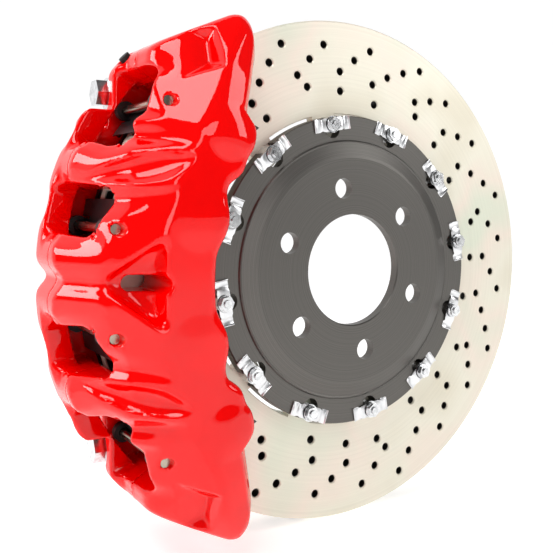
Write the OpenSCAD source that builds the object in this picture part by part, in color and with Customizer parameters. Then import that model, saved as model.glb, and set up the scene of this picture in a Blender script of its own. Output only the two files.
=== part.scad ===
// Eight-piston fixed brake caliper on a floating, cross-drilled two-piece disc.
// The disc turns about Y. Outboard is -Y, the caliper sits at -X, and +Z is up.
// The origin is the centre of the hub bore, on the face that seats on the hub.

/* [Friction ring] */
// Outside diameter of the friction ring
disc_d = 412; // [408:1:416]
// Thickness across both braking faces
disc_t = 38; // [36:1:39]
// Distance from the hub face inboard to the outboard braking face
disc_offset = 7.2; // [7.1:0.1:7.4]
// Inside diameter of the braking faces
ring_id = 257.4; // [256:0.2:259]
// Thickness of each of the two cheeks that the vanes join
ring_cheek_t = 9.5; // [8.5:0.5:10]
// Thickness of a cooling vane
vane_t = 4.5; // [4:0.5:5]
// Diameter of a drilled hole
drill_d = 6.6; // [6:0.2:7]
// Depth and width of the chamfer at the mouth of a drilled hole
drill_chamfer = 0.8; // [0.4:0.1:1]
// Radius of the innermost row of drilled holes
drill_row_r = 142.6; // [142:0.1:143]
// Step in radius from one row of drilled holes to the next
drill_row_step = 5.46; // [5.3:0.02:5.5]
// Turn of the drilled pattern about the axis
drill_phase = 1.7; // [0:0.1:4]

/* [Hat] */
// Diameter of the hub bore
bore_d = 91; // [88:0.5:94]
// Thickness of the plate that the wheel clamps to the hub
hat_plate_t = 8; // [7:0.5:9]
// Diameter of the flat wheel face
hat_face_d = 183; // [180:1:186]
// Diameter of the raised lip where the cone meets the flange
hat_lip_d = 211.6; // [210:0.2:213]
// Outside diameter of the flange that carries the ring
hat_flange_d = 253; // [252:0.5:254]
// Bolt circle of the wheel studs
lug_pcd = 135; // [135, 139.7]
// Diameter of a wheel stud hole
lug_hole_d = 16.8; // [14:0.2:17]
// Angle of the first wheel stud hole
lug_phase = 40; // [38:1:42]

/* [Floating mounts] */
// Number of drive bobbins
bobbin_count = 12; // [12]
// Radius of the circle of bobbins
bobbin_r = 120.2; // [120:0.1:120.4]
// Angle of the first bobbin
bobbin_phase = 10; // [8:1:12]
// Outside diameter of a bobbin
bobbin_d = 13.86; // [13.8:0.02:13.9]
// Width of the slot in the hat that a bobbin slides in
bobbin_slot_w = 14; // [14:0.02:14.1]
// Thread diameter of a bobbin bolt
bobbin_bolt_d = 6; // [5:0.5:6]
// Length of a spring clip around the disc
clip_len = 37.6; // [34:0.2:38]
// Width of a spring clip across the flange
clip_w = 12; // [10:0.5:12]
// Thickness of the spring clip's strip
clip_t = 0.8; // [0.6:0.1:0.9]

/* [Caliper body] */
// Radius of the caliper's outer crest
crest_r = 242; // [241:0.5:243]
// Gap between the disc's rim and the bridges
rim_gap = 4.5; // [4:0.1:5]
// Half the angle that the caliper covers
half_angle = 60.5; // [60:0.5:61]
// Distance from the hub face out to the caliper's outboard face
face_out = 47.7; // [47:0.1:48]
// Radius of the inner edge between the piston housings
inner_edge_r = 152.6; // [151:0.2:154]
// Offset angle of the two middle windows
near_window_at = 12.3; // [12.2:0.1:12.4]
// Width of the two middle windows
near_window_w = 36.6; // [36:0.2:37]
// Offset angle of the two end windows
far_window_at = 32.5; // [32.4:0.1:32.6]
// Width of the two end windows
far_window_w = 66.8; // [66:0.2:67]
// Offset angles of the bridge bolts
bridge_bolt_at = [5, 20.6, 50];
// Thread diameter of a bridge bolt
bridge_bolt_d = 10; // [8:1:10]
// Height of the mounting bolts above and below the disc's axis
mount_z = 138.9; // [138:0.1:140]
// Distance of the mounting bolts inboard of the hub face
mount_in = 73.3; // [73:0.1:74]
// Thread diameter of a mounting bolt
mount_bolt_d = 12; // [12]

/* [Pistons and pads] */
// Radius at which the two middle pistons sit
near_piston_r = 166; // [165.5:0.1:166.5]
// Offset angle of the two middle pistons
near_piston_at = 15.3; // [15.2:0.1:15.4]
// Diameter of the two middle pistons
near_piston_d = 38; // [36:1:38]
// Radius at which the two end pistons sit
far_piston_r = 171; // [170.5:0.1:171.5]
// Offset angle of the two end pistons
far_piston_at = 37.5; // [37.4:0.1:37.6]
// Diameter of the two end pistons
far_piston_d = 34; // [32:1:34]
// Gap between a lining and the disc, with the pistons drawn back
pad_gap = 0.9; // [0.8:0.05:1]
// Thickness of a friction lining
lining_t = 10.5; // [10:0.5:10.5]
// Thickness of a pad's steel plate
plate_t = 6; // [5:0.5:6]
// Length of a pad's plate
plate_len = 115.8; // [115:0.2:116]
// Radius at which the pad pins cross over the disc
pin_r = 213.5; // [213.3:0.1:214]
// Offset angles of the pad pins
pin_at = [9.8, 35.7];
// Diameter of a pad pin
pin_d = 7; // [6:0.5:7]

/* [Hidden] */
$fn = 96;

// Heights along the disc's axis are measured outboard from the hub face.
ring_front = -disc_offset;
ring_back = ring_front - disc_t;
mid = ring_front - disc_t / 2;
flange_front = 3.3;
flange_back = ring_front + 0.7;
bridge_r = disc_d / 2 + rim_gap;
bobbin_step = 360 / bobbin_count;
tab_back = ring_front - ring_cheek_t + 1;
clip_base = 4.9;
running_gap = 0.04;

// The drilled pattern repeats eight times round the disc: [angle, row].
drill_groups = 8;
drill_group = [[0, 1], [0, 4], [5, 8], [10, 6], [12.5, 2], [15, 4], [17.5, 9],
    [22.5, 7], [27.5, 5], [30.5, 0], [32.5, 3], [35, 8], [40, 6]];
// Vanes run between the drilled holes: [angle, inner radius, outer radius].
// Those that reach an edge of the ring run past it here, and the ring's own outline ends them.
vane_in = ring_id / 2 - 6;
vane_out = disc_d / 2 + 6;
vane_group = [[2.5, vane_in, vane_out], [7.5, vane_in, vane_out], [13.5, vane_in, 144],
    [13.8, 176, vane_out], [20, vane_in, vane_out], [25, vane_in, vane_out], [30, 178, vane_out],
    [37.5, vane_in, vane_out], [42.5, vane_in, vane_out]];

// The pads: each is pushed by one middle piston and one end piston.
pad_at = (near_piston_at + far_piston_at) / 2;
lining_front = ring_front + pad_gap;
plate_front = lining_front + lining_t;
plate_back = plate_front + plate_t;
piston_front = plate_back + 0.1;
piston_len = 27.8;
bore_floor = piston_front + piston_len + 2.2;
cheek_face = plate_back + 1.5;
post_face = ring_front + 3.7;
pocket_len = plate_len + 2;
ear_d = 15;
window_floor_r = 196;
window_out = 14;
window_in = -4.4;
outer_crest_out = -4;
inner_crest_out = 12;
ear_pocket_r = 223;
ear_pocket_out = 12.4;
near_housing_d = near_piston_d + 11;
far_housing_d = far_piston_d + 11;
housing_out = face_out + 3;
seal_w = 3.6;
seal_depth = 2.8;
seal_at = cheek_face + 10;
dust_at = cheek_face + 2.2;
dust_w = 2.6;
bolt_seat = 2 * mid + 15.6;
bolt_circle_r = [225, 225, 221];
mount_face_x = -98;
mount_seat_x = -179;
mount_notch_x = -187;
bleed_at = 43;
bleed_in = -52;
port_r = 172;

// Turns the drawing so that its z is the outboard direction along the disc's axis.
module axial() rotate([90, 0, 0]) children();

// Places a child at a radius and an angle round the disc.
module at_disc(r, a) rotate([0, 0, a]) translate([r, 0, 0]) children();

// Places a child at a radius and an offset angle above the caliper's middle.
module at_caliper(r, off) rotate([0, 0, 180 - off]) translate([r, 0, 0]) children();

// Repeats a child below the caliper's middle.
module above_and_below() {
    children();
    mirror([0, 1, 0]) children();
}

// Puts a child of the outboard side on the inboard side.
module inboard() translate([0, 0, 2 * mid]) mirror([0, 0, 1]) children();

module side(outer) {
    if (outer) children();
    else inboard() children();
}

module half_plane(upper) {
    if (upper) children();
    else mirror([0, 1, 0]) children();
}

module tube(r_out, r_in, z0, z1) {
    translate([0, 0, z0]) difference() {
        cylinder(r = r_out, h = z1 - z0);
        translate([0, 0, -1]) cylinder(r = r_in, h = z1 - z0 + 2);
    }
}

module rod(r, z0, z1) translate([0, 0, z0]) cylinder(r = r, h = z1 - z0);

module hex(across_flats, z0, z1) {
    translate([0, 0, z0]) cylinder(d = across_flats / cos(30), h = z1 - z0, $fn = 6);
}

// Disc ------------------------------------------------------------------

module hat_slot() {
    rod(bobbin_slot_w / 2, flange_back - 1, flange_front + 1);
    translate([0, -bobbin_slot_w / 2, flange_back - 1])
        cube([20, bobbin_slot_w, flange_front - flange_back + 2]);
}

module disc_hat() color([0.25, 0.25, 0.26]) axial() difference() {
    rotate_extrude($fn = 180) polygon([
        [bore_d / 2, 0], [bore_d / 2, hat_plate_t - 0.8], [bore_d / 2 + 0.8, hat_plate_t],
        [hat_face_d / 2, hat_plate_t], [hat_face_d / 2 + 3, hat_plate_t - 0.6],
        [hat_lip_d / 2 - 1.6, flange_front + 1.1], [hat_lip_d / 2 - 0.6, flange_front + 1.5],
        [hat_lip_d / 2, flange_front + 1.1], [hat_lip_d / 2 + 0.8, flange_front],
        [hat_flange_d / 2 - 0.8, flange_front], [hat_flange_d / 2, flange_front - 0.8],
        [hat_flange_d / 2, flange_back], [hat_lip_d / 2 - 6, flange_back], [hat_face_d / 2 - 4, 0]]);
    for (k = [0 : 5]) at_disc(lug_pcd / 2, lug_phase + 60 * k) rod(lug_hole_d / 2, -1, hat_plate_t + 1);
    for (k = [0 : bobbin_count - 1])
        at_disc(bobbin_r - 4.35, bobbin_phase + bobbin_step * k) hat_slot();
}

module ring_blank() {
    rotate_extrude($fn = 180) polygon([
        [ring_id / 2, ring_back + 0.6], [ring_id / 2, ring_front - 0.6], [ring_id / 2 + 0.6, ring_front],
        [disc_d / 2 - 1.2, ring_front], [disc_d / 2, ring_front - 1.2],
        [disc_d / 2, ring_back + 1.2], [disc_d / 2 - 1.2, ring_back], [ring_id / 2 + 0.6, ring_back]]);
}

// The air channels, with the vanes left standing between them.
module air_channels() {
    translate([0, 0, ring_back + ring_cheek_t]) linear_extrude(disc_t - 2 * ring_cheek_t) difference() {
        circle(r = vane_out - 1);
        circle(r = vane_in + 1);
        for (g = [0 : drill_groups - 1], v = vane_group)
            rotate(drill_phase + 45 * g + v[0]) translate([v[1], -vane_t / 2]) square([v[2] - v[1], vane_t]);
    }
}

module drill() {
    r = drill_d / 2;
    c = drill_chamfer;
    rotate_extrude($fn = 48) polygon([
        [0, ring_back - 1], [r + c + 1, ring_back - 1], [r, ring_back + c],
        [r, ring_front - c], [r + c + 1, ring_front + 1], [0, ring_front + 1]]);
}

module ring_tab() {
    rod(11, tab_back, ring_front);
    translate([0, -11, tab_back]) cube([ring_id / 2 - bobbin_r + 3, 22, ring_front - tab_back]);
}

module friction_ring() color([0.86, 0.84, 0.78]) axial() difference() {
    union() {
        ring_blank();
        for (k = [0 : bobbin_count - 1]) at_disc(bobbin_r, bobbin_phase + bobbin_step * k) ring_tab();
    }
    air_channels();
    for (g = [0 : drill_groups - 1], h = drill_group)
        at_disc(drill_row_r + drill_row_step * h[1], drill_phase + 45 * g + h[0]) drill();
    for (k = [0 : bobbin_count - 1])
        at_disc(bobbin_r, bobbin_phase + bobbin_step * k) rod(bobbin_bolt_d / 2 + 0.05, tab_back - 1, 0);
}

module each_bobbin() {
    axial() for (k = [0 : bobbin_count - 1]) at_disc(bobbin_r, bobbin_phase + bobbin_step * k) children();
}

module drive_bobbins() color([0.75, 0.75, 0.77]) each_bobbin()
    tube(bobbin_d / 2, bobbin_bolt_d / 2 + 0.05, ring_front, clip_base);

module bobbin_bolts() color([0.7, 0.7, 0.72]) each_bobbin() {
    rod(bobbin_bolt_d / 2, tab_back - 1.2, 10.8);
    hex(10, tab_back - 5.2, tab_back - 1.2);
}

module bobbin_washers() color([0.8, 0.8, 0.82]) each_bobbin()
    tube(6.2, bobbin_bolt_d / 2 + 0.05, tab_back - 1.2, tab_back);

module bobbin_nuts() color([0.8, 0.8, 0.82]) each_bobbin() difference() {
    union() {
        rod(6.2, clip_base + clip_t, clip_base + clip_t + 1);
        hex(10, clip_base + clip_t, 9.4);
    }
    rod(bobbin_bolt_d / 2 + 0.05, 0, 12);
}

module bobbin_clips() color([0.85, 0.85, 0.87]) each_bobbin() difference() {
    rotate([90, 0, 90]) translate([0, 0, -clip_w / 2]) linear_extrude(clip_w) {
        half_strip = [[8, clip_base], [12.2, clip_base - 0.4], [14.2, flange_front + 0.25],
            [16.6, flange_front + 0.25], [clip_len / 2, flange_front + 2]];
        top = [for (p = half_strip) [p[0], p[1] + clip_t]];
        polygon(concat(
            half_strip, [for (k = [len(top) - 1 : -1 : 0]) top[k]],
            [for (p = top) [-p[0], p[1]]],
            [for (k = [len(half_strip) - 1 : -1 : 0]) [-half_strip[k][0], half_strip[k][1]]]));
    }
    rod(bobbin_bolt_d / 2 + 0.05, 0, 12);
}

// Caliper ---------------------------------------------------------------

// The plan of one half, seen along the disc's axis.
module plan() {
    reach = 320;
    difference() {
        linear_extrude(200, center = true) polygon(concat([[0, 0]],
            [for (k = [0 : 4]) let (a = 180 - half_angle + half_angle * k / 2) reach * [cos(a), sin(a)]]));
        cylinder(r = inner_edge_r, h = 210, center = true);
        above_and_below() linear_extrude(210, center = true)
            polygon([[-127, 92], [-100.2, 177.1], [-88, 215], [0, 215], [0, 92]]);
    }
}

// The section of one half. Its crest runs level from the joint face to crest_out.
module half_profile(crest_out) {
    polygon([
        [140, post_face], [140, face_out - 2], [155, face_out], [186, face_out], [197, face_out - 5],
        [214, face_out - 16], [226, face_out - 24], [crest_r - 4, crest_out + 8], [crest_r, crest_out],
        [crest_r, mid], [bridge_r, mid], [bridge_r, post_face]]);
}

// The ends fall away outboard and towards the disc.
module end_cuts() {
    at_caliper(200, 42) translate([0, 0, face_out]) rotate([18.6, 0, 0])
        translate([-90, -120, 0]) cube([180, 120, 60]);
    at_caliper(crest_r + 1, 43.5) rotate([0, 0, -21.7]) translate([0, -120, -120]) cube([60, 120, 240]);
}

module window(off, w, reach) {
    at_caliper(window_floor_r, off) translate([0, -w / 2, mid - 1])
        cube([70, w, reach - mid + 1]);
}

// Room for a pad's ears under the rail that closes a window of the inboard half.
module ear_pocket(off, w) {
    at_caliper(window_floor_r, off) translate([0, -w / 2, window_in - 1])
        cube([ear_pocket_r - window_floor_r, w, ear_pocket_out - window_in + 1]);
}

// The pocket that a pad slides in, open towards the disc and the hub.
module pad_pocket() {
    at_caliper(0, pad_at) translate([100, -pocket_len / 2, post_face - 1])
        cube([bridge_r - 1 - 100, pocket_len, cheek_face - post_face + 1]);
}

module piston_bore(d) {
    rod(d / 2, cheek_face - 20, bore_floor);
    rod(d / 2 + seal_depth, seal_at, seal_at + seal_w);
    rod(d / 2 + seal_depth, dust_at, dust_at + dust_w);
}

// The holes for the pad pins, wider at the mouth.
module pin_holes() {
    for (a = pin_at) at_caliper(pin_r, a) {
        rod(pin_d / 2 + 0.1, 0, 60);
        rod(pin_d / 2 + 0.8, 24, 60);
    }
}

module half_body(reach, crest_out) {
    difference() {
        union() {
            intersection() {
                rotate_extrude($fn = 180) half_profile(crest_out);
                plan();
            }
            above_and_below() {
                at_caliper(near_piston_r, near_piston_at) rod(near_housing_d / 2, cheek_face, housing_out);
                at_caliper(far_piston_r, far_piston_at) rod(far_housing_d / 2, cheek_face, housing_out);
            }
        }
        above_and_below() {
            end_cuts();
            window(near_window_at, near_window_w, reach);
            window(far_window_at, far_window_w, reach);
            pad_pocket();
            at_caliper(near_piston_r, near_piston_at) piston_bore(near_piston_d);
            at_caliper(far_piston_r, far_piston_at) piston_bore(far_piston_d);
            at_caliper(219, 55) rod(2, mid - 1, 10);
        }
    }
}

module caliper_outer_half() color([0.85, 0.02, 0.02]) axial() difference() {
    half_body(window_out, outer_crest_out);
    above_and_below() {
        pin_holes();
        for (k = [0 : 2])
            at_caliper(bolt_circle_r[k], bridge_bolt_at[k]) rod(bridge_bolt_d / 2, mid - 1, 4);
    }
    translate([0, 0, 24]) linear_extrude(60) polygon([[-228, 4], [-228, -4], [-185, -29], [-185, 29]]);
    at_caliper(192.5, 0) {
        translate([-7.5, -5.5, -40]) cube([15, 11, 100]);
        translate([7.5, 0, -40]) cylinder(r = 5.5, h = 100);
        translate([-7.5, 0, -40]) cylinder(r = 5.5, h = 100);
    }
}

module caliper_inner_half() color([0.85, 0.02, 0.02]) axial() difference() {
    union() {
        inboard() half_body(window_in, inner_crest_out);
        above_and_below() intersection() {
            translate([mount_seat_x, mount_z, -mount_in]) rotate([0, 90, 0])
                cylinder(r = 14, h = mount_face_x - mount_seat_x);
            translate([-250, 0, -150]) cube([250, 200, 149.5 + 2 * mid - cheek_face]);
        }
    }
    above_and_below() {
        inboard() {
            ear_pocket(near_window_at, near_window_w);
            ear_pocket(far_window_at, far_window_w);
            pin_holes();
        }
        for (k = [0 : 2]) at_caliper(bolt_circle_r[k], bridge_bolt_at[k]) {
            rod(bridge_bolt_d / 2 + 0.3, -100, mid + 1);
            rod(8.5, -100, bolt_seat - 31.2);
        }
        translate([-260, mount_z, -mount_in]) rotate([0, 90, 0]) cylinder(r = mount_bolt_d / 2 + 0.25, h = 200);
        translate([-260, mount_z, -mount_in]) rotate([0, 90, 0]) cylinder(r = 14.5, h = 260 + mount_seat_x);
        translate([-260, mount_z, -mount_in]) rotate([0, 90, 0]) cylinder(r = 28, h = 260 + mount_notch_x);
        at_caliper(219, 55) rod(5.4, mid - 1.6, mid + 1);
    }
    translate([0, 0, bleed_in]) at_caliper(0, bleed_at) rotate([0, 90, 0]) {
        rod(4.05, 215, 260);
        rod(8, 230, 260);
    }
    at_caliper(port_r, 0) rod(5, -120, 2 * mid - cheek_face - 14);
}

module bridge_bolts() color([0.3, 0.3, 0.32]) axial() above_and_below() for (k = [0 : 2])
    at_caliper(bolt_circle_r[k], bridge_bolt_at[k]) difference() {
        union() {
            rod(bridge_bolt_d / 2 - 0.05, bolt_seat - 31.2, 2);
            rod(8, bolt_seat - 41.2, bolt_seat - 31.2);
        }
        hex(8, bolt_seat - 42, bolt_seat - 36);
    }

module transfer_seals() color([0.1, 0.1, 0.1]) axial() above_and_below()
    at_caliper(219, 55) tube(5.2, 3, mid - 1.5, mid - 0.1);

// Pistons, seals and pads ------------------------------------------------

module piston(d) difference() {
    rod(d / 2 - running_gap, piston_front, piston_front + piston_len);
    rod(d / 2 - 4.5, piston_front - 1, piston_front + piston_len - 6);
}

module placed_piston(outer, upper, near) color([0.7, 0.7, 0.72]) axial() side(outer) half_plane(upper) {
    if (near) at_caliper(near_piston_r, near_piston_at) piston(near_piston_d);
    else at_caliper(far_piston_r, far_piston_at) piston(far_piston_d);
}

module seal_ring(d, z0, w) tube(d / 2 + seal_depth - 0.05, d / 2 + 0.05, z0 + 0.05, z0 + w - 0.05);

module all_seals(z0, w) axial() for (outer = [true, false]) side(outer) above_and_below() {
    at_caliper(near_piston_r, near_piston_at) seal_ring(near_piston_d, z0, w);
    at_caliper(far_piston_r, far_piston_at) seal_ring(far_piston_d, z0, w);
}

module piston_seals() color([0.1, 0.1, 0.1]) all_seals(seal_at, seal_w);

module dust_seals() color([0.15, 0.15, 0.15]) all_seals(dust_at, dust_w);

module pad_outline(r_in, r_out, len, z0, z1) intersection() {
    tube(r_out, r_in, z0, z1);
    at_caliper(0, pad_at) translate([100, -len / 2, z0]) cube([130, len, z1 - z0]);
}

module plate_ear(a) {
    at_caliper(pin_r, a) rod(ear_d / 2, plate_front, plate_back);
    at_caliper(0, a) translate([195, -5.5, plate_front]) cube([pin_r - 195, 11, plate_t]);
}

module pad_plate(outer, upper) color([0.08, 0.08, 0.08]) axial() side(outer) half_plane(upper) difference() {
    union() {
        pad_outline(145, 204, plate_len, plate_front, plate_back);
        intersection() {
            for (a = pin_at) plate_ear(a);
            union() {
                at_caliper(0, pad_at) translate([100, -plate_len / 2, plate_front]) cube([130, plate_len, plate_t]);
                tube(230, window_floor_r + 0.5, plate_front, plate_back);
            }
        }
    }
    for (a = pin_at) at_caliper(pin_r, a) rod(pin_d / 2 + 0.3, plate_front - 1, plate_back + 1);
}

module lining(outer, upper) color([0.2, 0.19, 0.18]) axial() side(outer) half_plane(upper) difference() {
    pad_outline(147, 203, plate_len - 8, lining_front, plate_front);
    at_caliper(0, pad_at) translate([100, -1.5, lining_front - 1]) cube([130, 3, lining_t - 2]);
}

module pad_pins() color([0.6, 0.58, 0.52]) axial() above_and_below() for (a = pin_at)
    at_caliper(pin_r, a) rod(pin_d / 2, 2 * mid - 42, 23);

module pin_clips() color([0.7, 0.7, 0.72]) axial() above_and_below() for (a = pin_at)
    at_caliper(pin_r, a) tube(6, pin_d / 2 + 0.02, 2 * mid - 38.4, 2 * mid - 37.2);

// A leaf under each pin, with two feet that press on the pads' plates.
module pad_spring(a, toward) {
    half_len = plate_back - mid;
    at_caliper(0, a) {
        translate([pin_r - 4.7, -6, mid - half_len + 9]) cube([0.8, 12, 2 * half_len - 18]);
        translate([pin_r - 4.7, toward * 14.5 - 6.5, mid - half_len]) cube([0.8, 13, 2 * half_len]);
        translate([pin_r - 4.7, min(0, toward * 9), mid - 20]) cube([0.8, 9, 40]);
        for (z0 = [plate_front + 1, 2 * mid - plate_back + 1])
            translate([205.2, toward * 14.5 - 5, z0]) cube([4, 10, 4]);
    }
}

module pad_springs() color([0.12, 0.12, 0.12]) axial() above_and_below() {
    pad_spring(pin_at[0], -1);
    pad_spring(pin_at[1], 1);
}

module abutment_plates() color([0.75, 0.74, 0.7]) axial() for (outer = [true, false]) side(outer)
    above_and_below() for (end = [-1, 1]) at_caliper(0, pad_at)
        translate([end > 0 ? 152 : 160, end * (pocket_len / 2 - 0.4) - 0.3, post_face])
            cube([end > 0 ? 34 : 32, 0.6, cheek_face - post_face - 0.1]);

// Fittings ---------------------------------------------------------------

module bleed_line() axial() translate([0, 0, bleed_in]) at_caliper(0, bleed_at) rotate([0, 90, 0]) children();

module bleed_screw() color([0.7, 0.68, 0.6]) bleed_line() {
    rod(4, 218, 230.1);
    hex(9, 230.1, 234);
    rod(2.8, 234, 240);
}

module bleed_cap() color([0.06, 0.06, 0.06]) bleed_line() difference() {
    rod(4.6, 234.1, 243.5);
    rod(2.85, 234, 240.1);
}

module inlet_plug() color([0.75, 0.75, 0.77]) axial() at_caliper(port_r, 0) {
    top = 2 * mid - face_out;
    rod(4.95, top - 1.5, top + 12);
    hex(14, top - 7.5, top - 1.5);
}

module inlet_washer() color([0.72, 0.45, 0.25]) axial() at_caliper(port_r, 0) {
    top = 2 * mid - face_out;
    tube(8, 5, top - 1.5, top);
}

module mount_line() axial() above_and_below()
    translate([0, mount_z, -mount_in]) rotate([0, 90, 0]) children();

// Each bolt is waisted where it passes through the caliper.
module mounting_bolts() color([0.8, 0.8, 0.82]) mount_line() {
    rod(mount_bolt_d / 2 - 1, mount_seat_x - 2.5, mount_face_x + 1);
    rod(mount_bolt_d / 2, mount_face_x, mount_face_x + 32);
    rod(12.5, mount_seat_x - 5, mount_seat_x - 2.5);
    hex(19, mount_seat_x - 15, mount_seat_x - 5);
}

module mounting_washers() color([0.8, 0.8, 0.82]) mount_line()
    tube(13, mount_bolt_d / 2 + 0.25, mount_seat_x - 2.5, mount_seat_x);

disc_hat();
friction_ring();
drive_bobbins();
bobbin_bolts();
bobbin_washers();
bobbin_nuts();
bobbin_clips();
caliper_outer_half();
caliper_inner_half();
bridge_bolts();
transfer_seals();
placed_piston(true, true, false);  // piston_outer_1
placed_piston(true, true, true);  // piston_outer_2
placed_piston(true, false, true);  // piston_outer_3
placed_piston(true, false, false);  // piston_outer_4
placed_piston(false, true, false);  // piston_inner_1
placed_piston(false, true, true);  // piston_inner_2
placed_piston(false, false, true);  // piston_inner_3
placed_piston(false, false, false);  // piston_inner_4
piston_seals();
dust_seals();
pad_plate(true, true);  // pad_plate_outer_upper
pad_plate(true, false);  // pad_plate_outer_lower
pad_plate(false, true);  // pad_plate_inner_upper
pad_plate(false, false);  // pad_plate_inner_lower
lining(true, true);  // lining_outer_upper
lining(true, false);  // lining_outer_lower
lining(false, true);  // lining_inner_upper
lining(false, false);  // lining_inner_lower
pad_pins();
pin_clips();
pad_springs();
abutment_plates();
bleed_screw();
bleed_cap();
inlet_plug();
inlet_washer();
mounting_bolts();
mounting_washers();
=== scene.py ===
# Looks of an eight-piston brake caliper on a floating, cross-drilled two-piece disc.
# Metres, Z up. The disc turns about Y, outboard is -Y and the caliper sits at -X.
import math

import bpy
import numpy as np
from mathutils import Matrix, Vector


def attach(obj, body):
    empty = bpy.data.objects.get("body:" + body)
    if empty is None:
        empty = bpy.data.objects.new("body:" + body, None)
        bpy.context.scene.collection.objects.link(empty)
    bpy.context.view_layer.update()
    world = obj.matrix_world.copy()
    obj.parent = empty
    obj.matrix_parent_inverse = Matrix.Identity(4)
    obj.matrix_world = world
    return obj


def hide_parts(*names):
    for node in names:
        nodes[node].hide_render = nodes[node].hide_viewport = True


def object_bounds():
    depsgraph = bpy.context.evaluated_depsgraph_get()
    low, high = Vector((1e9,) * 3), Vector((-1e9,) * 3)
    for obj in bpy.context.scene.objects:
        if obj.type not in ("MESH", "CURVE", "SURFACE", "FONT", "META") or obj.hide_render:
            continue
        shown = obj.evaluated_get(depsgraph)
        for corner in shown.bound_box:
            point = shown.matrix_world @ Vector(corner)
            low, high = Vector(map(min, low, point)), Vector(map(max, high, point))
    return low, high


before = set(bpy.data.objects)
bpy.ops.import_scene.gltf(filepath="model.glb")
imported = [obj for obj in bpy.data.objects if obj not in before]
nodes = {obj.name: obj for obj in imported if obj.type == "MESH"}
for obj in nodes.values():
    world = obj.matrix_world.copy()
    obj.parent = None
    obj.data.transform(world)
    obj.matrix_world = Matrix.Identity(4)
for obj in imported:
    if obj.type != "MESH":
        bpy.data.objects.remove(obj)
cad_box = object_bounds()
MM = 0.001

# Sizes of the caliper in millimetres and degrees. "Out" is measured outboard from the hub face and
# "in" inboard from it. An offset angle is measured from the caliper's middle, and both ends are alike.
MID = -26.2
CREST_R = 242.0
BRIDGE_R = 210.5
FACE_OUT = 47.7
POST_FACE = -3.5
CHEEK_FACE = 11.7
HALF_ANGLE = 60.5
INNER_R = 151.5
CENTRE_INNER_R = 146.5
# Each piston's radius from the disc's axis, its offset angle and its bore's radius.
NEAR_PISTON = (166.0, 15.3, 19.0)
FAR_PISTON = (171.0, 37.5, 17.0)
# Each window's offset angle and its width.
NEAR_WINDOW = (12.3, 36.6)
FAR_WINDOW = (32.5, 66.8)
# How far a bridge's crest falls beside a window.
KNUCKLE_DROP = 6.0
WINDOW_FLOOR_R = 196.0
WINDOW_OUT = 12.5
WINDOW_IN = -4.4
RAIL_WIDTH = 13.0
PAD_AT = 26.4
PAD_POCKET_HALF = 58.9
PIN_R = 213.5
PIN_AT = (9.8, 35.7)
MOUNT_Z = 138.9
MOUNT_IN = 73.3
# Each bridge bolt's radius and offset angle.
BRIDGE_BOLTS = ((225.0, 5.0), (225.0, 20.6), (221.0, 50.0))

PISTON_WALL = 5.5
BORE_FLOOR = 40.3
# The lobe between two pistons, as for a piston.
BETWEEN_PISTONS = (163.5, 31.5, 17.0)
# From here on a pair in brackets is a radius and an offset angle, but for MOUNT_BOSS_X.
CHORD_FROM, CHORD_TO = (162.8, 41.5), (203.5, 60.5)
FACET_AT, FACET_OUT = (206.0, 30.7), 34.6
END_FLAT_FROM, END_FLAT_TO = (CREST_R + 1, 43.5), (225.8, 60.0)
LENS_FROM, LENS_TO = (236.0, 17.2), (179.0, 28.5)
# Each trough's start, end, width and depth.
TROUGHS = (((226.0, 14.0), (180.0, 20.5), 9.0, 8.0), ((226.0, 26.5), (176.0, 31.5), 8.0, 8.0))
EAR_POCKET_R = 223.0
PIN_HOLE_R = 3.6
PIN_MOUTH_R = 4.3
PIN_MOUTH_FROM = 24.0
SLOT_AT_X, SLOT_HALF, SLOT_R = 192.5, 7.5, 5.5
MOUNT_BOSS_R, MOUNT_HOLE_R = 14.0, 6.25
MOUNT_BOSS_X = (-179.0, -98.0)
WRENCH_R, WRENCH_X = 28.0, -187.0
COUNTERBORE_R, COUNTERBORE_FROM = 8.5, 15.6
BLEED_OFF, BLEED_IN = 43.0, 52.0
BLEED_POCKET_R, BLEED_POCKET_FROM = 8.0, 230.0
BLEED_HOLE_R, BLEED_HOLE_FROM = 4.1, 215.0
INLET_AT, INLET_R, INLET_FROM = (172.0, 0.0), 5.0, 25.7
# More than any length that a cut has to be kept clear of.
FAR_AWAY = 60.0


# Small helpers ---------------------------------------------------------------

def linear(hex_colour):
    """An sRGB hex colour as linear RGBA."""
    parts = [int(hex_colour[i:i + 2], 16) / 255 for i in (1, 3, 5)]
    return tuple(c / 12.92 if c <= 0.04045 else ((c + 0.055) / 1.055) ** 2.4 for c in parts) + (1.0,)


def add(tree, kind, settings=None, **links):
    """Adds a node with its settings, and links its inputs to other nodes' outputs or sets their values."""
    new = tree.nodes.new(kind)
    for name, value in (settings or {}).items():
        setattr(new, name, value)
    for name, value in links.items():
        key = int(name[1:]) if name[0] == "_" else name.replace("_", " ")
        if isinstance(value, bpy.types.NodeSocket):
            tree.links.new(value, new.inputs[key])
        else:
            new.inputs[key].default_value = value
    return new


def new_material(name):
    """An empty material with its shader: (material, its tree, the shader)."""
    material = bpy.data.materials.new(name)
    material.use_nodes = True
    tree = material.node_tree
    tree.nodes.clear()
    shader = add(tree, "ShaderNodeBsdfPrincipled")
    add(tree, "ShaderNodeOutputMaterial", Surface=shader.outputs[0])
    return material, tree, shader


def ramp(tree, factor, stops):
    """A colour ramp from (position, hex colour) pairs."""
    node = add(tree, "ShaderNodeValToRGB", Fac=factor)
    elements = node.color_ramp.elements
    while len(elements) < len(stops):
        elements.new(0.5)
    for element, (position, colour) in zip(elements, stops):
        element.position = position
        element.color = linear(colour)
    return node.outputs["Color"]


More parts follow.
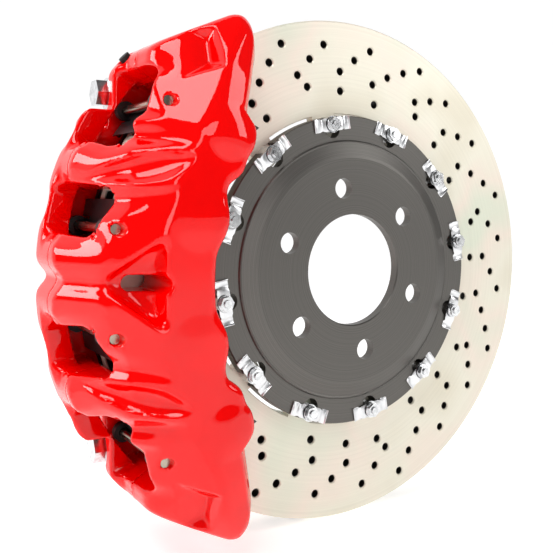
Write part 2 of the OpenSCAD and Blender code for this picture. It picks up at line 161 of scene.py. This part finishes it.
def noise(tree, vector, size_mm, detail=3.0, roughness=0.5):
    """Noise whose blobs are about size_mm across."""
    return add(tree, "ShaderNodeTexNoise", Vector=vector, Scale=1000 / size_mm, Detail=detail,
               Roughness=roughness).outputs["Fac"]


def span(tree, factor, low, high):
    """A 0 to 1 factor spread over low to high."""
    return add(tree, "ShaderNodeMapRange", Value=factor, To_Min=low, To_Max=high).outputs["Result"]


def maths(tree, operation, *inputs):
    """The result of a Math node."""
    links = {f"_{number}": value for number, value in enumerate(inputs)}
    return add(tree, "ShaderNodeMath", {"operation": operation}, **links).outputs[0]


def bump(tree, height, depth_mm, strength=1.0):
    """A normal from a 0 to 1 height that stands depth_mm deep."""
    node = add(tree, "ShaderNodeBump", Height=height, Distance=depth_mm * MM, Strength=strength)
    return node.outputs["Normal"]


def dress(node, material):
    """Gives a CAD node its material."""
    slots = nodes[node].data.materials
    slots.clear()
    slots.append(material)


# Materials -------------------------------------------------------------------

def object_coordinates(tree):
    return add(tree, "ShaderNodeTexCoord").outputs["Object"]


def red_enamel():
    # Baked red enamel under clear lacquer: deep pure red, mirror gloss, faint orange peel about 3 mm across.
    material, tree, shader = new_material("red_baked_enamel")
    where = object_coordinates(tree)
    cloud = noise(tree, where, 40, 2)
    tree.links.new(ramp(tree, cloud, [(0.3, "#EC0000"), (0.7, "#F60000")]), shader.inputs["Base Color"])
    peel = noise(tree, where, 3, 1)
    tree.links.new(bump(tree, peel, 0.012), shader.inputs["Coat Normal"])
    tree.links.new(span(tree, cloud, 0.32, 0.4), shader.inputs["Roughness"])
    shader.inputs["Specular IOR Level"].default_value = 0.0
    shader.inputs["Coat Weight"].default_value = 1.0
    shader.inputs["Coat Roughness"].default_value = 0.03
    shader.inputs["Coat IOR"].default_value = 1.45
    return material


def disc_radius(tree, where):
    """The distance from the disc's axis, in metres."""
    split = add(tree, "ShaderNodeSeparateXYZ", Vector=where)
    x, z = split.outputs["X"], split.outputs["Z"]
    square = maths(tree, "MULTIPLY", x, x)
    return maths(tree, "SQRT", maths(tree, "MULTIPLY_ADD", z, z, square))


def turned_rings(tree, radius, pitch_mm):
    """Fine concentric tool marks of uneven depth, as a 0 to 1 height."""
    scaled = maths(tree, "MULTIPLY", radius, 1000 / pitch_mm)
    vector = add(tree, "ShaderNodeCombineXYZ", X=scaled).outputs[0]
    marks = add(tree, "ShaderNodeTexNoise", Vector=vector, Scale=1.0, Detail=2.0, Roughness=0.7)
    return marks.outputs["Fac"]


def fade(tree, length, start_mm, end_mm):
    """0 where a length is under start_mm, 1 where it is over end_mm. With the larger first it falls."""
    rising = start_mm < end_mm
    low_mm, high_mm = sorted((start_mm, end_mm))
    node = add(tree, "ShaderNodeMapRange", Value=length, From_Min=low_mm * MM, From_Max=high_mm * MM,
               To_Min=0.0 if rising else 1.0, To_Max=1.0 if rising else 0.0)
    return node.outputs["Result"]


def painted_hole_shade(tree, radius, where):
    """Painted shade mask: 1 on the walls of the drilled holes and air channels, which are darkened to stand
    for the shade inside them, 0 on the coated faces and edges.
    """
    depth = add(tree, "ShaderNodeSeparateXYZ", Vector=where).outputs["Y"]
    away = maths(tree, "ABSOLUTE", maths(tree, "ADD", depth, MID * MM))
    between_faces = fade(tree, away, 18.2, 17.2)
    inside_edge = fade(tree, radius, 205.5, 204.5)
    outside_bore = fade(tree, radius, 129.2, 130.0)
    return maths(tree, "MULTIPLY", maths(tree, "MULTIPLY", between_faces, inside_edge), outside_bore)


def zinc_iron():
    # Machined cast iron under a bright zinc coat: pale cream with faint pink and green painted reflection in
    # random patches, a soft sheen and turning marks, and painted shade on the walls of the drilled holes.
    material, tree, shader = new_material("zinc_coated_cast_iron")
    where = object_coordinates(tree)
    radius = disc_radius(tree, where)
    rings = turned_rings(tree, radius, 2.2)
    cast = noise(tree, where, 90, 2, 0.4)
    # Cream tones, plus pink and green patches that are painted reflection, spread at random.
    tone_and_painted_reflection = ramp(tree, cast, [(0.3, "#E6E0CF"), (0.45, "#F0ECDE"), (0.56, "#F3E8DC"), (0.7, "#E4E8D8")])
    ring_colour = ramp(tree, rings, [(0.3, "#DEDACD"), (0.7, "#FBF8EE")])
    coated = add(tree, "ShaderNodeMix", {"data_type": "RGBA", "blend_type": "MULTIPLY"}, _0=0.35,
                 _6=tone_and_painted_reflection, _7=ring_colour)
    # Painted shade: the walls of the holes and channels get a near-black colour that stands for the shade
    # inside them.
    whole = add(tree, "ShaderNodeMix", {"data_type": "RGBA"}, _0=painted_hole_shade(tree, radius, where),
                _6=coated.outputs[2], _7=linear("#1E1A17"))
    tree.links.new(whole.outputs[2], shader.inputs["Base Color"])
    tree.links.new(span(tree, rings, 0.36, 0.5), shader.inputs["Roughness"])
    tree.links.new(bump(tree, rings, 0.02, 0.5), shader.inputs["Normal"])
    shader.inputs["Metallic"].default_value = 0.3
    return material


def anodised_hat():
    # Hard-anodised turned aluminium: charcoal grey with fine concentric marks and a satin sheen.
    material, tree, shader = new_material("hard_anodised_aluminium")
    rings = turned_rings(tree, disc_radius(tree, object_coordinates(tree)), 0.9)
    tree.links.new(ramp(tree, rings, [(0.3, "#5C5A57"), (0.7, "#716E6A")]), shader.inputs["Base Color"])
    tree.links.new(span(tree, rings, 0.34, 0.5), shader.inputs["Roughness"])
    tree.links.new(bump(tree, rings, 0.012, 0.6), shader.inputs["Normal"])
    shader.inputs["Metallic"].default_value = 0.9
    return material


def plated_metal(name, dark, light, rough_low, rough_high, grain_mm, metallic=1.0):
    # Plated or bare metal: bright, with a slow mottle from the blank under it.
    material, tree, shader = new_material(name)
    where = object_coordinates(tree)
    mottle = noise(tree, where, grain_mm, 3)
    tree.links.new(ramp(tree, mottle, [(0.3, dark), (0.7, light)]), shader.inputs["Base Color"])
    tree.links.new(span(tree, mottle, rough_low, rough_high), shader.inputs["Roughness"])
    tree.links.new(bump(tree, mottle, 0.004, 0.4), shader.inputs["Normal"])
    shader.inputs["Metallic"].default_value = metallic
    return material


def dull_solid(name, dark, light, roughness, grain_mm, depth_mm):
    # Painted, rubber or bonded surfaces: dull and slightly grained.
    material, tree, shader = new_material(name)
    where = object_coordinates(tree)
    grain = noise(tree, where, grain_mm, 4)
    tree.links.new(ramp(tree, grain, [(0.35, dark), (0.65, light)]), shader.inputs["Base Color"])
    tree.links.new(span(tree, grain, roughness - 0.08, roughness + 0.08), shader.inputs["Roughness"])
    tree.links.new(bump(tree, grain, depth_mm), shader.inputs["Normal"])
    return material


ENAMEL = red_enamel()
ZINC_IRON = zinc_iron()
HAT = anodised_hat()
BRIGHT_ZINC = plated_metal("bright_zinc_plated_steel", "#C9CACC", "#F0F1F2", 0.16, 0.28, 4)
SPRING_STEEL = plated_metal("polished_spring_steel", "#D6D7D9", "#F4F4F5", 0.26, 0.34, 10)
PIN_STEEL = plated_metal("passivated_pin_steel", "#968E80", "#B8B0A0", 0.2, 0.3, 12)
PISTON_ALLOY = plated_metal("anodised_piston_alloy", "#8C8D90", "#A6A7AA", 0.25, 0.4, 3)
BLACK_OXIDE = plated_metal("black_oxide_steel", "#17181A", "#26272A", 0.35, 0.5, 2, 0.7)
BLACK_SPRING = plated_metal("blackened_spring_steel", "#121315", "#222326", 0.3, 0.45, 3, 0.6)
COPPER = plated_metal("soft_copper", "#A8633C", "#C67F52", 0.3, 0.45, 2)
PAD_BLACK = dull_solid("black_powder_coat", "#0C0C0D", "#161617", 0.5, 1.2, 0.05)
LINING = dull_solid("friction_compound", "#3A3733", "#5A554D", 0.85, 1.5, 0.2)
RUBBER = dull_solid("moulded_rubber", "#0B0B0B", "#151515", 0.6, 1.5, 0.03)

FINISHES = {
    HAT: ["disc_hat"],
    ZINC_IRON: ["friction_ring"],
    BRIGHT_ZINC: ["drive_bobbins", "bobbin_bolts", "bobbin_washers", "bobbin_nuts", "inlet_plug",
                  "mounting_bolts", "mounting_washers", "abutment_plates"],
    SPRING_STEEL: ["bobbin_clips", "pin_clips"],
    PIN_STEEL: ["pad_pins", "bleed_screw"],
    PISTON_ALLOY: [n for n in nodes if n.startswith("piston_") and n != "piston_seals"],
    BLACK_OXIDE: ["bridge_bolts"],
    BLACK_SPRING: ["pad_springs"],
    COPPER: ["inlet_washer"],
    PAD_BLACK: [n for n in nodes if n.startswith("pad_plate_")],
    LINING: [n for n in nodes if n.startswith("lining_")],
    RUBBER: ["piston_seals", "dust_seals", "transfer_seals", "bleed_cap"],
    ENAMEL: ["caliper_outer_half", "caliper_inner_half"],
}
for material, names in FINISHES.items():
    for name in names:
        dress(name, material)


# Shaping by distance fields --------------------------------------------------
# The castings are blended solids with soft rims all over, so they are shaped as
# distances (negative inside) and skinned, as a potter adds and cuts away clay.

def blend_in(a, b, k):
    """The union of two solids, with a fillet about k wide."""
    h = np.clip(0.5 + 0.5 * (b - a) / k, 0, 1)
    return b + (a - b) * h - k * h * (1 - h)


def keep(a, b, k):
    """What lies in both solids, with the edge rounded over about k."""
    return -blend_in(-a, -b, k)


def cut(a, b, k):
    """The first solid with the second taken away."""
    return keep(a, -b, k)


def ease(x, low, high):
    """0 below low, 1 above high, smooth between."""
    t = np.clip((x - low) / (high - low), 0, 1)
    return t * t * (3 - 2 * t)


def place(r, off):
    """(x, z) of a point at a radius and an offset angle above the caliper's middle."""
    return -r * math.cos(math.radians(off)), r * math.sin(math.radians(off))


def stroke(x, z, start, end):
    """(how far along 0 to 1, sideways distance) from the line between two (radius, offset) points."""
    (x0, z0), (x1, z1) = place(*start), place(*end)
    length = math.hypot(x1 - x0, z1 - z0)
    ux, uz = (x1 - x0) / length, (z1 - z0) / length
    along = ((x - x0) * ux + (z - z0) * uz) / length
    aside = -(x - x0) * uz + (z - z0) * ux
    return along, aside


def trough(x, z, start, end, width, depth):
    """A soft channel that is deepest at its start and runs out at its end."""
    along, aside = stroke(x, z, start, end)
    return depth * (1 - ease(along, 0, 1)) * np.exp(-(aside / width) ** 2)


def edge(x, z, through, normal):
    """The half-plane on the inner side of a line in the plane of the disc."""
    size = math.hypot(*normal)
    return ((x - through[0]) * normal[0] + (z - through[1]) * normal[1]) / size


def end_chord(x, z):
    """The straight inner edge of each end, positive towards the hub."""
    (x0, z0), (x1, z1) = place(*CHORD_FROM), place(*CHORD_TO)
    return edge(x, z, (x0, z0), (z1 - z0, x0 - x1))


def plan_outline(x, z, r, off):
    """The outline of the inner edge: a ring, a straight chord at the end, and a lobe round each piston."""
    inner_r = CENTRE_INNER_R + (INNER_R - CENTRE_INNER_R) * ease(off, 4, 22)
    beyond_chord = keep(-end_chord(x, z), 92 - z, 1)
    outline = cut(inner_r - r, beyond_chord, 6)
    for (lobe_r, lobe_off, bore_r), soft in ((NEAR_PISTON, 9), (FAR_PISTON, 6)):
        lx, lz = place(lobe_r, lobe_off)
        outline = blend_in(outline, np.hypot(x - lx, z - lz) - bore_r - PISTON_WALL, soft)
    lobe_r, lobe_off, radius = BETWEEN_PISTONS
    return blend_in(outline, hole(x, z, (lobe_r, lobe_off), radius), 4)


def end_facet(x, z, out):
    """The flat on each end of the caliper that carries the end pin hole, as a height above it."""
    ax, az = place(*FACET_AT)
    return out - FACET_OUT - 0.7398 * (x - ax) + 0.5445 * (z - az)


def window_flange(x, out, z, off):
    """The narrow band between an end window and the facet, as a height above it."""
    ax, az = place(*FACET_AT)
    height = -0.848 * (x - ax) + 0.485 * (out - FACET_OUT) + 0.21 * (z - az)
    return height - 12 * (1 - ease(off, 27, 33))


def outer_skin(x, out, z, r, off, rail):
    """The outside of one half before its openings. Its crest runs on past the windows by the rail."""
    lift = 4 * ease(off, 38, 48)
    slope = 0.579 * (r - 197 - lift) + 0.816 * (out - 43)
    shoulder = 0.765 * (r - 222) + 0.644 * (out - 25 - rail)
    skin = keep(keep(slope, shoulder, 8), r - CREST_R, 5)
    top_in, top_out = place(*END_FLAT_FROM), place(*END_FLAT_TO)
    run = (top_out[0] - top_in[0], top_out[1] - top_in[1])
    skin = keep(skin, edge(x, z, top_in, (-run[1], run[0])), 3)
    skin = keep(skin, (end_facet(x, z, out) - 0.6 * rail) / 1.3575, 1.5)
    if rail == 0:
        skin = keep(skin, window_flange(x, out, z, off), 1)

    # Troughs run in from the windows, and a vee splits the middle bridge into two knuckles.
    for start, end, width, depth in TROUGHS:
        skin = skin + trough(x, z, start, end, width, depth) * ease(out, -6, 14)
    skin = skin + 7 * np.exp(-(z / 8) ** 2) * ease(r, 200, 225)

    # Each bridge is crowned, so its crest falls away towards the windows beside it.
    crowned = ease(out, -34, -22)
    if rail > 0:
        crowned = crowned * (1 - ease(out, -12, -3))
    for at, width in (NEAR_WINDOW, FAR_WINDOW):
        beside = np.abs(r * np.sin(np.radians(off - at))) - width / 2
        skin = skin + KNUCKLE_DROP * np.exp(-(beside / 7) ** 2) * ease(r, 218, 240) * crowned

    # A lens-shaped hollow lies between two ridges on the bridge between the windows.
    along, aside = stroke(x, z, LENS_FROM, LENS_TO)
    half_width = 40 * np.clip(along * (1 - along), 0, 1) + 1e-3
    inside = np.clip(1 - (aside / half_width) ** 2, 0, 1)
    rim = np.exp(-((np.abs(aside) - half_width - 3) / 5) ** 2)
    reach = ease(along, 0, 0.35) * (1 - ease(along, 0.75, 1.0))
    return skin + (5.0 * inside - 2.0 * rim) * reach


def face_side(x, out, z, r, off):
    """The flat outboard face, which swells over each piston and falls away towards the ends."""
    beyond = r * np.sin(np.radians(off - 42))
    fall = (out - FACE_OUT + 0.336 * beyond) * 0.948
    face = keep(out - FACE_OUT, fall, 10)
    for (lobe_r, lobe_off, bore_r), rise in ((NEAR_PISTON, 1.2), (FAR_PISTON, 3.2)):
        lx, lz = place(lobe_r, lobe_off)
        away = np.hypot(x - lx, z - lz) / (bore_r + 5)
        face = face - rise * np.clip(1 - away ** 2, 0, 1) ** 1.5
    return face


def end_pocket(x, z, out):
    """The wedge-shaped pocket in each end facet: three walls and a floor."""
    depth = np.maximum(-end_facet(x, z, out), 0)
    hub_corner, crest_corner = (-136.9, 149.9), (-134.4, 184.9)
    wall = x - hub_corner[0] - 0.07 * (z - hub_corner[1]) + 0.3 * depth
    top = edge(x, z, crest_corner, (-0.17, 0.985)) + 0.9 * depth
    base = edge(x, z, hub_corner, (0.324, -0.946)) + 0.35 * depth
    floor = (15 - 0.45 * (z - 165) + 0.1 * (x + 150) - out) * 0.9
    return keep(keep(wall, base, 2), keep(top, floor, 3), 2)


def scoop(x, z, out):
    """The triangular scoop in the middle of the outboard face."""
    depth = FACE_OUT - out
    wall = x + 183 + 0.12 * depth
    slant = edge(x, z, (-183, 32), (-0.54, 0.842)) + 0.2 * depth
    floor = 23 + 0.3 * (x + 200) - out
    return keep(keep(wall, slant, 10), floor, 9)


def window(r, off, out, at, width, corner, reach):
    """A window cut down through the crest, with rounded corners at its end."""
    across = np.abs(r * np.sin(np.radians(off - at)))
    up = r * np.cos(np.radians(off - at))
    qx = across - (width / 2 - corner)
    qy = out - (reach - corner)
    flat = np.hypot(np.maximum(qx, 0), np.maximum(qy, 0)) + np.minimum(np.maximum(qx, qy), 0) - corner
    return keep(flat, WINDOW_FLOOR_R - up, 1)


def hole(x, z, at, radius):
    """A round hole or column along the disc's axis."""
    cx, cz = place(*at)
    return np.hypot(x - cx, z - cz) - radius


def half_casting(x, out, z, reach, rail):
    """One half of the caliper, with what both halves share. Its windows run out to reach."""
    z = np.abs(z)
    r = np.hypot(x, z)
    off = np.degrees(np.arctan2(z, -x))
    plan = plan_outline(x, z, r, off)
    face = face_side(x, out, z, r, off)
    solid = keep(outer_skin(x, out, z, r, off, rail), face, 4)
    solid = cut(solid, end_pocket(x, z, out), 1.6)
    solid = keep(solid, plan, 7)
    bevel = (end_chord(x, z) + face) / 1.414 + 5
    solid = keep(solid, bevel - FAR_AWAY * (1 - ease(off, 40, 44)), 1.5)
    solid = keep(solid, r * np.sin(np.radians(off - HALF_ANGLE)), 14)

    # Over the disc, between the two rows of pads.
    over_disc = np.maximum(r - BRIDGE_R, out - POST_FACE)
    solid = cut(solid, over_disc, 1)
    corner = 14 if rail == 0 else 8
    solid = cut(solid, window(r, off, out, *NEAR_WINDOW, corner, reach), 3.5)
    solid = cut(solid, window(r, off, out, *FAR_WINDOW, corner, reach), 3.5)
    for at, width in (NEAR_WINDOW, FAR_WINDOW):
        ears = np.maximum(window(r, off, out, at, width, 3, CHEEK_FACE + 0.7), r - EAR_POCKET_R)
        solid = cut(solid, ears, 0.8)

    # The pads' pocket, the piston bores and the pin holes.
    across = np.abs(r * np.sin(np.radians(off - PAD_AT))) - PAD_POCKET_HALF
    along = r * np.cos(np.radians(off - PAD_AT)) - BRIDGE_R + 1
    pocket = np.maximum(np.maximum(across, along), out - CHEEK_FACE)
    solid = cut(solid, pocket, 1)
    for bore_r, bore_off, radius in (NEAR_PISTON, FAR_PISTON):
        bore = np.maximum(hole(x, z, (bore_r, bore_off), radius), out - BORE_FLOOR)
        solid = cut(solid, bore, 0.6)
    for pin_off in PIN_AT:
        pin = hole(x, z, (PIN_R, pin_off), PIN_HOLE_R)
        mouth = np.maximum(hole(x, z, (PIN_R, pin_off), PIN_MOUTH_R), PIN_MOUTH_FROM - out)
        solid = cut(solid, np.minimum(pin, mouth), 0.8)
    return np.maximum(solid, MID - out)


def outer_casting(x, y, z):
    """The outboard half: the scoop and the slot are its own."""
    out = -y
    solid = half_casting(x, out, z, WINDOW_OUT, 0)
    solid = cut(solid, scoop(x, np.abs(z), out), 3)
    slot_x = np.abs(x + SLOT_AT_X) - SLOT_HALF
    slot = np.hypot(np.maximum(slot_x, 0), z) - SLOT_R
    return cut(solid, slot, 1.5)


def inner_casting(x, y, z):
    """The inboard half, with the mounting bosses, and the seats for the bridge bolts' heads, the bleed screw
    and the inlet.
    """
    out = 2 * MID + y
    solid = half_casting(x, out, z, WINDOW_IN, RAIL_WIDTH)
    az = np.abs(z)
    boss_out = 2 * MID + MOUNT_IN
    bolt_axis = np.hypot(az - MOUNT_Z, out - boss_out)
    seat_x, foot_x = MOUNT_BOSS_X
    boss = keep(bolt_axis - MOUNT_BOSS_R, np.maximum(x - foot_x, seat_x - x), 2)
    boss = keep(boss, CHEEK_FACE + 0.5 - out, 1)
    solid = blend_in(solid, boss, 5)
    solid = cut(solid, keep(bolt_axis - MOUNT_BOSS_R - 0.5, x - seat_x, 1), 1.5)
    solid = cut(solid, keep(bolt_axis - WRENCH_R, x - WRENCH_X, 4), 3)
    solid = cut(solid, bolt_axis - MOUNT_HOLE_R, 0.6)
    for bolt_at in BRIDGE_BOLTS:
        counterbore = np.maximum(hole(x, az, bolt_at, COUNTERBORE_R), COUNTERBORE_FROM - out)
        solid = cut(solid, counterbore, 1)
    bleed_out = 2 * MID + BLEED_IN
    bx, bz = place(1.0, BLEED_OFF)
    along = x * bx + z * bz
    radial = np.hypot(x - along * bx, np.hypot(z - along * bz, out - bleed_out))
    solid = cut(solid, np.maximum(radial - BLEED_POCKET_R, BLEED_POCKET_FROM - along), 1.5)
    solid = cut(solid, np.maximum(radial - BLEED_HOLE_R, BLEED_HOLE_FROM - along), 0.4)
    inlet = np.maximum(hole(x, z, INLET_AT, INLET_R), INLET_FROM - out)
    return cut(solid, inlet, 0.6)


def skin_field(name, field, low, high, cell):
    """Skins a distance field with quads, on a grid of cells, then draws every point onto the surface."""
    axes = [np.arange(a, b + cell, cell) for a, b in zip(low, high)]
    value = field(*np.meshgrid(*axes, indexing="ij"))
    cells = np.array(value.shape) - 1
    corner_ids, points, quads = [], [], []
    for axis in range(3):
        a = np.moveaxis(np.moveaxis(value, axis, 0)[:-1], 0, axis)
        b = np.moveaxis(np.moveaxis(value, axis, 0)[1:], 0, axis)
        index = np.argwhere((a < 0) != (b < 0))
        side, up = (axis + 1) % 3, (axis + 2) % 3
        inner = (index[:, side] > 0) & (index[:, up] > 0)
        inner &= (index[:, side] < cells[side]) & (index[:, up] < cells[up])
        index = index[inner]
        at = tuple(index.T)
        crossing = index.astype(float)
        crossing[:, axis] += a[at] / (a[at] - b[at])
        ring = []
        for step_side, step_up in ((-1, -1), (0, -1), (0, 0), (-1, 0)):
            cell_index = index.copy()
            cell_index[:, side] += step_side
            cell_index[:, up] += step_up
            ring.append(np.ravel_multi_index(cell_index.T, cells))
            points.append(crossing)
        corner_ids.extend(ring)
        quad = np.stack(ring, 1)
        outward = a[at] < 0
        quads.append(np.where(outward[:, None], quad, quad[:, ::-1]))
    ids = np.concatenate(corner_ids)
    points = np.concatenate(points)
    used, where = np.unique(ids, return_inverse=True)
    count = np.bincount(where)
    place_mm = np.stack([np.bincount(where, points[:, k]) / count for k in range(3)], 1) * cell + low
    faces = np.searchsorted(used, np.concatenate(quads))

    step = 0.05
    for _ in range(4):
        here = field(*place_mm.T)
        ahead = [field(*(place_mm + step * axis).T) for axis in np.eye(3)]
        behind = [field(*(place_mm - step * axis).T) for axis in np.eye(3)]
        slope = (np.stack(ahead, 1) - np.stack(behind, 1)) / (2 * step)
        move = here / np.maximum((slope ** 2).sum(1), 0.2)
        place_mm = place_mm - slope * np.clip(move, -cell / 2, cell / 2)[:, None]

    mesh = bpy.data.meshes.new(name)
    mesh.from_pydata((place_mm * MM).tolist(), [], faces.tolist())
    mesh.update()
    piece = bpy.data.objects.new(name, mesh)
    bpy.context.scene.collection.objects.link(piece)
    return piece


def pick(piece):
    """Makes a piece the only one selected, and the active one."""
    bpy.ops.object.select_all(action="DESELECT")
    piece.select_set(True)
    bpy.context.view_layer.objects.active = piece


def shade(piece, degrees):
    """Smooths a piece but keeps its creases sharper than the angle."""
    pick(piece)
    bpy.ops.object.shade_smooth_by_angle(angle=math.radians(degrees))


def make_castings():
    cell = 1.6
    x_low, x_high, z_reach = -248.0, -92.0, 202.0
    halves = (("outer_casting", "caliper_outer_half", outer_casting, -54, -MID + 2),
              ("inner_casting", "caliper_inner_half", inner_casting, -MID - 2, 105))
    for name, node, field, y_low, y_high in halves:
        low = np.array([x_low, y_low, -z_reach])
        high = np.array([x_high, y_high, z_reach])
        piece = skin_field(name, field, low, high, cell)
        piece.data.materials.append(ENAMEL)
        shade(piece, 40)
        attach(piece, "caliper")
        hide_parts(node)


make_castings()


# Spring clips ----------------------------------------------------------------

BOBBIN_R = 120.2
BOBBIN_COUNT = 12
BOBBIN_PHASE = 10
CLIP_BASE = 4.9
CLIP_THICK = 0.8
CLIP_HALF_FLAT = 8.6
CLIP_WIDTH = 11.0
# Each step of the strip from the flat middle to its end: (along, up, widening).
CLIP_STEPS = ((1.6, 0.0, 0.88), (1.0, -0.4, 1.0), (1.2, -1.0, 1.16),
              (3.4, 0.0, 1.0), (0.8, 0.4, 1.0), (0.5, 1.0, 1.0))


def clip_strip():
    """One clip, flat side up, pressed from a strip that steps down and curls up at both ends."""
    bpy.ops.object.select_all(action="DESELECT")
    bpy.ops.mesh.primitive_plane_add(size=1, location=(0, 0, CLIP_BASE * MM))
    strip = bpy.context.object
    strip.scale = (2 * CLIP_HALF_FLAT * MM, CLIP_WIDTH * MM, 1)
    bpy.ops.object.transform_apply(location=True, rotation=True, scale=True)
    for end in (-1, 1):
        bpy.ops.object.mode_set(mode="EDIT")
        bpy.ops.mesh.select_mode(type="VERT")
        bpy.ops.mesh.select_all(action="DESELECT")
        bpy.ops.object.mode_set(mode="OBJECT")
        for vertex in strip.data.vertices:
            vertex.select = abs(vertex.co.x - end * CLIP_HALF_FLAT * MM) < 1e-5
        bpy.ops.object.mode_set(mode="EDIT")
        for along, up, widen in CLIP_STEPS:
            step = (end * along * MM, 0, up * MM)
            bpy.ops.mesh.extrude_region_move(TRANSFORM_OT_translate={"value": step})
            bpy.ops.transform.resize(value=(1, widen, 1))
        bpy.ops.object.mode_set(mode="OBJECT")
    bpy.ops.object.mode_set(mode="EDIT")
    bpy.ops.mesh.select_all(action="SELECT")
    bpy.ops.mesh.normals_make_consistent(inside=False)
    bpy.ops.object.mode_set(mode="OBJECT")
    thick = strip.modifiers.new("thickness", "SOLIDIFY")
    thick.thickness = CLIP_THICK * MM
    thick.offset = 1
    rounding = strip.modifiers.new("rolled_edges", "BEVEL")
    rounding.width = 0.3 * MM
    rounding.segments = 2
    for modifier in list(strip.modifiers):
        bpy.ops.object.modifier_apply(modifier=modifier.name)
    strip.data.materials.append(SPRING_STEEL)
    return strip


def make_clips():
    """One clip on each bobbin, lying on the hat's flange, across the disc's radius."""
    first = clip_strip()
    outboard = Vector((0, -1, 0))
    for number in range(BOBBIN_COUNT):
        angle = math.radians(BOBBIN_PHASE + 360 / BOBBIN_COUNT * number)
        radial = Vector((math.cos(angle), 0, math.sin(angle)))
        turn = Matrix((radial.cross(outboard), radial, outboard)).transposed().to_4x4()
        turn.translation = radial * BOBBIN_R * MM
        piece = first.copy()
        piece.data = first.data.copy()
        piece.data.transform(turn)
        piece.name = f"bobbin_clip_{number + 1}"
        bpy.context.scene.collection.objects.link(piece)
        shade(piece, 35)
        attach(piece, "ring")
        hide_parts("bobbin_clips")
    bpy.data.objects.remove(first)


make_clips()


# Camera, floor and light -----------------------------------------------------

def make_camera():
    # A level camera, slightly rolled, that looks across the disc from outboard.
    turn, roll = math.radians(-31.7491), math.radians(0.4670)
    back = Vector((math.sin(turn), -math.cos(turn), 0))
    right = Vector((math.cos(turn), math.sin(turn), 0))
    up = Vector((0, 0, 1))
    axis_x = right * math.cos(roll) + up * math.sin(roll)
    axis_y = up * math.cos(roll) - right * math.sin(roll)
    data = bpy.data.cameras.new("camera")
    data.sensor_width = 36
    data.lens = 50.29
    data.shift_y = -0.1383
    camera = bpy.data.objects.new("camera", data)
    bpy.context.scene.collection.objects.link(camera)
    matrix = Matrix((axis_x, axis_y, back)).transposed().to_4x4()
    matrix.translation = Vector((-0.38895, -0.51367, 0.05655))
    camera.matrix_world = matrix
    bpy.context.scene.camera = camera


def make_floor():
    # A pale floor and a glowing white wall behind the object.
    lowest = cad_box[0][2] - 0.001
    bpy.ops.object.select_all(action="DESELECT")
    bpy.ops.mesh.primitive_plane_add(size=24, location=(0, 0, lowest))
    floor = bpy.context.object
    floor.name = "floor"
    material, tree, shader = new_material("matt_white_sweep")
    grain = noise(tree, object_coordinates(tree), 30)
    tree.links.new(ramp(tree, grain, [(0.3, "#D8D8D7"), (0.7, "#DCDCDB")]), shader.inputs["Base Color"])
    shader.inputs["Roughness"].default_value = 0.9
    shader.inputs["Emission Color"].default_value = (1, 1, 1, 1)
    shader.inputs["Emission Strength"].default_value = 0.6
    floor.data.materials.append(material)

    bpy.ops.mesh.primitive_plane_add(size=24, location=(0, 3.5, lowest + 8),
                                     rotation=(math.radians(90), 0, 0))
    wall = bpy.context.object
    wall.name = "back_wall"
    material, tree, shader = new_material("glowing_white_wall")
    shader.inputs["Base Color"].default_value = (0, 0, 0, 1)
    shader.inputs["Emission Color"].default_value = (1, 1, 1, 1)
    shader.inputs["Emission Strength"].default_value = 1.0
    wall.data.materials.append(material)


# Each light points at the caliper or the hub, and its size and watts make its highlight.
def soft_light(name, location, target, width, height, watts):
    data = bpy.data.lights.new(name, "AREA")
    data.shape = "RECTANGLE"
    data.size = width
    data.size_y = height
    data.energy = watts
    lamp = bpy.data.objects.new(name, data)
    bpy.context.scene.collection.objects.link(lamp)
    lamp.location = location
    aim = Vector(target) - Vector(location)
    lamp.rotation_euler = aim.to_track_quat("-Z", "Y").to_euler()


def make_world():
    world = bpy.data.worlds.new("white_studio")
    bpy.context.scene.world = world
    world.use_nodes = True
    tree = world.node_tree
    tree.nodes.clear()
    background = add(tree, "ShaderNodeBackground", Color=(1, 1, 1, 1), Strength=0.1)
    add(tree, "ShaderNodeOutputWorld", Surface=background.outputs[0])


make_camera()
make_floor()
make_world()
soft_light("overhead", (-0.9, -0.5, 1.5), (-0.2, 0, 0), 1.0, 0.8, 19)
soft_light("back_left", (-1.7, 0.5, 0.7), (-0.2, 0, 0), 0.8, 0.5, 12)
soft_light("front", (-0.2, -2.0, 0.5), (0, 0, 0), 0.4, 1.0, 5)
soft_light("right_strip", (1.3, -1.2, 0.8), (0, 0, 0), 0.5, 1.2, 9)
bpy.context.scene.view_settings.view_transform = "Standard"

bpy.context.view_layer.update()
